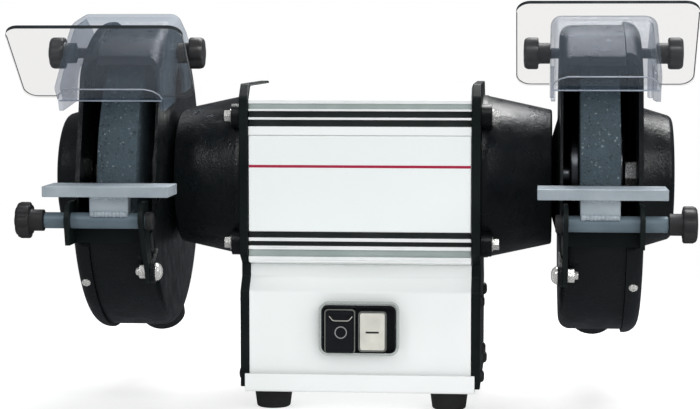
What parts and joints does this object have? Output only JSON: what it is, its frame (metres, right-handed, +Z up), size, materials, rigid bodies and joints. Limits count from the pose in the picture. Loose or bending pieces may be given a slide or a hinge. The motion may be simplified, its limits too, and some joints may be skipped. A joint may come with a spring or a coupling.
{
  "type": "bench grinder",
  "caption": "Double-ended bench grinder with guarded wheels, tilting spark hoods with eye shields, tilting tool rests and push-button switch.",
  "frame": {"origin": "centre of the machine's footprint, on the bench top under the feet", "axes": "+X along the spindle towards the right wheel, +Y towards the back, +Z up; the operator stands at -Y"},
  "size_m": [0.5, 0.2988, 0.3105],
  "materials": {
    "black_paint": "glossy black paint over a rough casting",
    "plate_paint": "satin black paint",
    "white_paint": "white powder coat with a fine grain",
    "label_white": "satin white enamel with one red line",
    "aluminium": "extruded, lacquered white between bright ribs",
    "steel": "turned steel",
    "bearing_steel": "ground bearing steel",
    "rest_steel": "grey zinc-plated steel",
    "zinc": "bright zinc-plated fasteners",
    "abrasive": "blue-grey vitrified grit with light specks",
    "core_steel": "stacked electrical steel sheets",
    "copper": "varnished copper winding",
    "rubber": "matt black rubber",
    "black_plastic": "matt moulded plastic",
    "cream_plastic": "satin moulded plastic",
    "grey_plastic": "matt moulded plastic",
    "clear_hood": "clear polycarbonate, slightly blue-grey",
    "clear_shield": "clear polycarbonate sheet"
  },
  "bodies": {
    "machine": {"motor_housing": "aluminium", "label_plate": "label_white", "stator_core": "core_steel", "pedestal": "white_paint", "base_plate": "white_paint", "cable_gland": "black_plastic", "capacitor": "grey_plastic", "terminal_block": "cream_plastic", "switch_housing": "black_plastic", "left_front_foot": "rubber", "left_back_foot": "rubber", "left_end_plate": "plate_paint", "left_bell_housing": "black_paint", "left_bell_screw_upper": "zinc", "left_bell_screw_lower": "zinc", "left_coil_end": "copper", "left_bearing": "bearing_steel", "left_guard_casing": "black_paint", "left_guard_cover": "black_paint", "left_guard_bolt": "zinc", "left_guard_nut": "zinc", "left_rest_bracket": "black_paint", "right_front_foot": "rubber", "right_back_foot": "rubber", "right_end_plate": "plate_paint", "right_bell_housing": "black_paint", "right_bell_screw_upper": "zinc", "right_bell_screw_lower": "zinc", "right_coil_end": "copper", "right_bearing": "bearing_steel", "right_guard_casing": "black_paint", "right_guard_cover": "black_paint", "right_guard_bolt": "zinc", "right_guard_nut": "zinc", "right_rest_bracket": "black_paint"},
    "spindle": {"spindle_shaft": "steel", "rotor_core": "core_steel", "left_inner_flange": "steel", "left_wheel": "abrasive", "left_outer_flange": "steel", "left_spindle_nut": "zinc", "right_inner_flange": "steel", "right_wheel": "abrasive", "right_outer_flange": "steel", "right_spindle_nut": "zinc"},
    "left_hood": {"left_spark_hood": "clear_hood", "left_eye_shield": "clear_shield"},
    "left_hood_inner_knob": {"left_hood_inner_knob": "black_plastic"},
    "left_hood_outer_knob": {"left_hood_outer_knob": "black_plastic"},
    "left_rest": {"left_tool_rest": "rest_steel"},
    "left_rest_knob": {"left_rest_knob": "black_plastic"},
    "right_hood": {"right_spark_hood": "clear_hood", "right_eye_shield": "clear_shield"},
    "right_hood_inner_knob": {"right_hood_inner_knob": "black_plastic"},
    "right_hood_outer_knob": {"right_hood_outer_knob": "black_plastic"},
    "right_rest": {"right_tool_rest": "rest_steel"},
    "right_rest_knob": {"right_rest_knob": "black_plastic"},
    "stop_button": {"stop_button": "black_plastic"},
    "start_button": {"start_button": "cream_plastic"}
  },
  "joints": [
    {"name": "spindle_spin", "type": "hinge", "parent": "machine", "child": "spindle", "pos_m": [0, 0.0278, 0.176], "axis": [1, 0, 0], "continuous": true},
    {"name": "left_hood_tilt", "type": "hinge", "parent": "machine", "child": "left_hood", "pos_m": [-0.1825, -0.0072, 0.273], "axis": [1, 0, 0], "range_deg": [-11, 7]},
    {"name": "left_hood_inner_knob_turn", "type": "hinge", "parent": "machine", "child": "left_hood_inner_knob", "pos_m": [-0.13, -0.0072, 0.273], "axis": [1, 0, 0], "range_deg": [0, 180]},
    {"name": "left_hood_outer_knob_turn", "type": "hinge", "parent": "machine", "child": "left_hood_outer_knob", "pos_m": [-0.235, -0.0072, 0.273], "axis": [-1, 0, 0], "range_deg": [0, 180]},
    {"name": "left_rest_tilt", "type": "hinge", "parent": "machine", "child": "left_rest", "pos_m": [-0.1815, -0.1022, 0.15], "axis": [1, 0, 0], "range_deg": [-3, 35]},
    {"name": "left_rest_knob_turn", "type": "hinge", "parent": "left_rest", "child": "left_rest_knob", "pos_m": [-0.24, -0.1022, 0.15], "axis": [-1, 0, 0], "range_deg": [0, 180]},
    {"name": "right_hood_tilt", "type": "hinge", "parent": "machine", "child": "right_hood", "pos_m": [0.1825, -0.0072, 0.273], "axis": [1, 0, 0], "range_deg": [-4, 14]},
    {"name": "right_hood_inner_knob_turn", "type": "hinge", "parent": "machine", "child": "right_hood_inner_knob", "pos_m": [0.13, -0.0072, 0.273], "axis": [-1, 0, 0], "range_deg": [0, 180]},
    {"name": "right_hood_outer_knob_turn", "type": "hinge", "parent": "machine", "child": "right_hood_outer_knob", "pos_m": [0.235, -0.0072, 0.273], "axis": [1, 0, 0], "range_deg": [0, 180]},
    {"name": "right_rest_tilt", "type": "hinge", "parent": "machine", "child": "right_rest", "pos_m": [0.1815, -0.1022, 0.15], "axis": [1, 0, 0], "range_deg": [-3, 35]},
    {"name": "right_rest_knob_turn", "type": "hinge", "parent": "right_rest", "child": "right_rest_knob", "pos_m": [0.24, -0.1022, 0.15], "axis": [1, 0, 0], "range_deg": [0, 180]},
    {"name": "stop_button_press", "type": "slide", "parent": "machine", "child": "stop_button", "axis": [0, 1, 0], "range_m": [0, 0.0035], "stiffness_N_per_m": 400, "springref_m": -0.001},
    {"name": "start_button_press", "type": "slide", "parent": "machine", "child": "start_button", "axis": [0, 1, 0], "range_m": [0, 0.0035], "stiffness_N_per_m": 400, "springref_m": -0.001}
  ]
}
